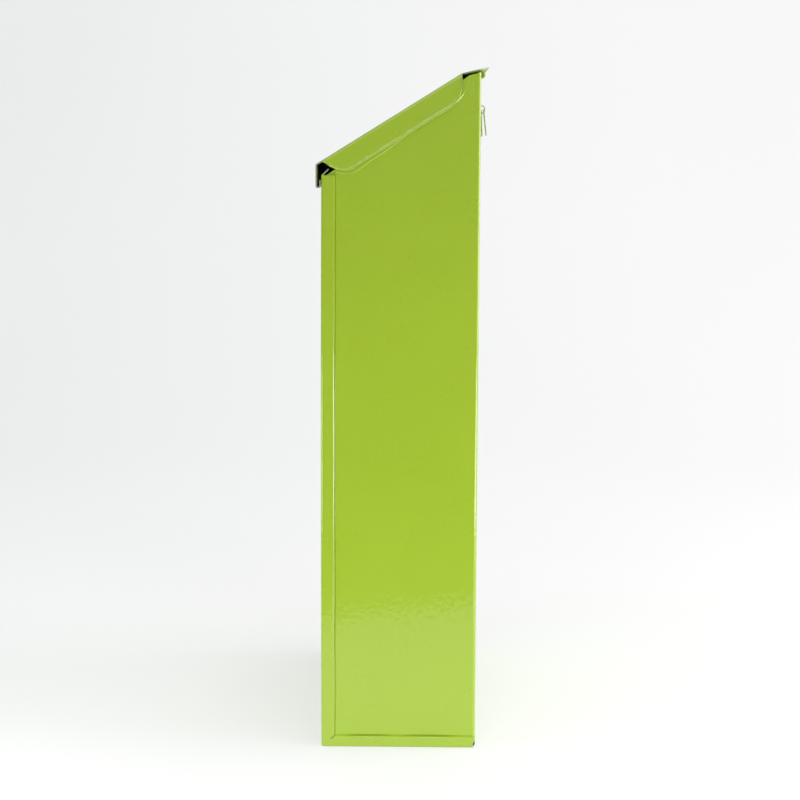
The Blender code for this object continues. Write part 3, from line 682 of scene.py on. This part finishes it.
pairs = [(case, "case", "box", green, "green_paint", case_edge),
         (tray, "tray", "box", green, "green_paint", tray_edge),
         (lid, "lid", "lid", green, "green_paint", lid_edge),
         (ring, "key_ring", "ring", reflection_tinted_metal, "nickel", None),
         (inner_key, "key_inner", "inner_key", reflection_tinted_metal, "nickel", reflection_tinted_metal),
         (outer_key, "key_outer", "outer_key", reflection_tinted_metal, "nickel", reflection_tinted_metal)]
for obj, node, body, mat, slot, rim in pairs:
    obj.data.materials.append(mat)
    if rim:
        obj.data.materials.append(rim)
        obj.data.materials.append(inside if mat is green else mat)
    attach(obj, body)
    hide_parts(node)
knuckles.data.materials.append(green)
knuckles.data.materials.append(case_edge)
knuckles.data.materials.append(green)
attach(knuckles, "box")

finishes = {"lid_hinge_leaf": green, "lid_catch": green, "hinge_rod": green, "lock_washer": zinc,
            "lock_nut": zinc, "lock_cam": zinc, "cam_screw": zinc, "lock_body": nickel,
            "lock_plug": nickel}
for node, mat in finishes.items():
    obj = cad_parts[node]
    obj.data.materials.clear()
    obj.data.materials.append(mat)


# ---------------------------------------------------------------- studio

def make_sweep():
    """Floor that curves up into the backdrop: one path in side view carried along Y."""
    floor = np.array([[525.0, 0.0], [300.0, 0.0], [0.0, 0.0], [-600.0, 0.0]])
    turn = np.radians(np.linspace(0, 90, 17))
    curve = np.stack([-900.0 - 900.0 * np.sin(turn), 900.0 - 900.0 * np.cos(turn)], -1)
    path = np.concatenate([floor, curve, [[-1800.0, 3200.0]]])
    y = np.concatenate([[-3500, -1200, -500], np.linspace(-300, 300, 9), [500, 1200, 3500]])
    grid = np.empty((len(path), len(y), 3))
    grid[..., 0] = path[:, :1]
    grid[..., 1] = y
    grid[..., 2] = path[:, 1:]
    grid[0, :, 0] = 508 + 0.5 * np.clip(y, -300, 500)
    return surface("studio_sweep", [grid])


def paper():
    """Matt white paper, faintly cloudy, glowing a little less towards the left."""
    mat, tree, shader = nodes_of("white_paper")
    cloud = noise(tree, 1.3, 2.0)
    colour = ramp(tree, cloud.outputs["Fac"], [(0.3, grey(0.43)), (0.7, grey(0.45))])
    tree.links.new(colour.outputs["Color"], shader.inputs["Base Color"])
    place = add(tree, "ShaderNodeTexCoord")
    split = add(tree, "ShaderNodeSeparateXYZ")
    reach = add(tree, "ShaderNodeMapRange")
    reach.inputs["From Min"].default_value = -0.5
    reach.inputs["From Max"].default_value = 0.35
    tree.links.new(place.outputs["Object"], split.inputs["Vector"])
    tree.links.new(split.outputs["Y"], reach.inputs["Value"])
    shade = ramp(tree, reach.outputs["Result"], [(0.0, (0.91, 0.93, 0.93)), (1.0, grey(1.0))])
    tree.links.new(shade.outputs["Color"], shader.inputs["Emission Color"])
    shader.inputs["Roughness"].default_value = 0.9
    shader.inputs["Emission Strength"].default_value = 0.515
    return mat


sweep = make_sweep()
sweep.data.materials.append(paper())


def softbox(name, where, aim, size, power):
    """Rectangular area light at a point, turned towards another."""
    light = bpy.data.lights.new(name, "AREA")
    light.shape = "RECTANGLE"
    light.size, light.size_y = size
    light.energy = power
    obj = bpy.data.objects.new(name, light)
    bpy.context.scene.collection.objects.link(obj)
    obj.location = where
    direction = np.array(aim, float) - np.array(where, float)
    obj.rotation_euler = Vector(direction).to_track_quat("-Z", "Y").to_euler()
    return obj


softbox("overhead", (0.1, 0.0, 2.4), (0, 0, 0), (2.6, 2.6), 24.0)
softbox("left_box", (0.0, -1.6, 0.72), (0, 0, 0.5), (1.4, 1.3), 1.5)
softbox("right_box", (0.0, 1.6, 0.72), (0, 0, 0.5), (1.4, 1.3), 21.0)
softbox("front_box", (2.4, 0.1, 1.5), (0.1, 0, 0.1), (3.0, 1.8), 36.0)
softbox("low_left", (0.42, -0.42, 0.12), (0.125, 0, 0.08), (0.3, 0.15), 1.0)
softbox("low_right", (0.42, 0.42, 0.12), (0.125, 0, 0.08), (0.3, 0.15), 1.0)

world = bpy.data.worlds.new("studio_air")
bpy.context.scene.world = world
world.use_nodes = True
world.node_tree.nodes["Background"].inputs["Color"].default_value = (1.0, 1.0, 1.0, 1.0)
world.node_tree.nodes["Background"].inputs["Strength"].default_value = 0.12

# ---------------------------------------------------------------- camera

CAMERA_AT = (1.3948, 0.0176, 0.4002)
FOCAL_LENGTH, SENSOR = 90.09, 36.0
YAW, PITCH, ROLL = math.radians(0.775), math.radians(7.649), math.radians(0.2677)
look = np.array([-math.cos(PITCH) * math.cos(YAW), -math.cos(PITCH) * math.sin(YAW),
                 -math.sin(PITCH)])
right = np.cross(look, [0, 0, 1.0])
right /= np.linalg.norm(right)
up = np.cross(right, look)
right, up = (math.cos(ROLL) * right + math.sin(ROLL) * up,
             -math.sin(ROLL) * right + math.cos(ROLL) * up)
lens = bpy.data.cameras.new("camera")
lens.sensor_width = SENSOR
lens.lens = FOCAL_LENGTH
lens.clip_start = 0.05
camera = bpy.data.objects.new("camera", lens)
bpy.context.scene.collection.objects.link(camera)
frame_axes = Matrix(np.stack([right, up, -look], 1).tolist()).to_4x4()
camera.matrix_world = Matrix.Translation(CAMERA_AT) @ frame_axes
bpy.context.scene.camera = camera
bpy.context.scene.view_settings.view_transform = "Standard"
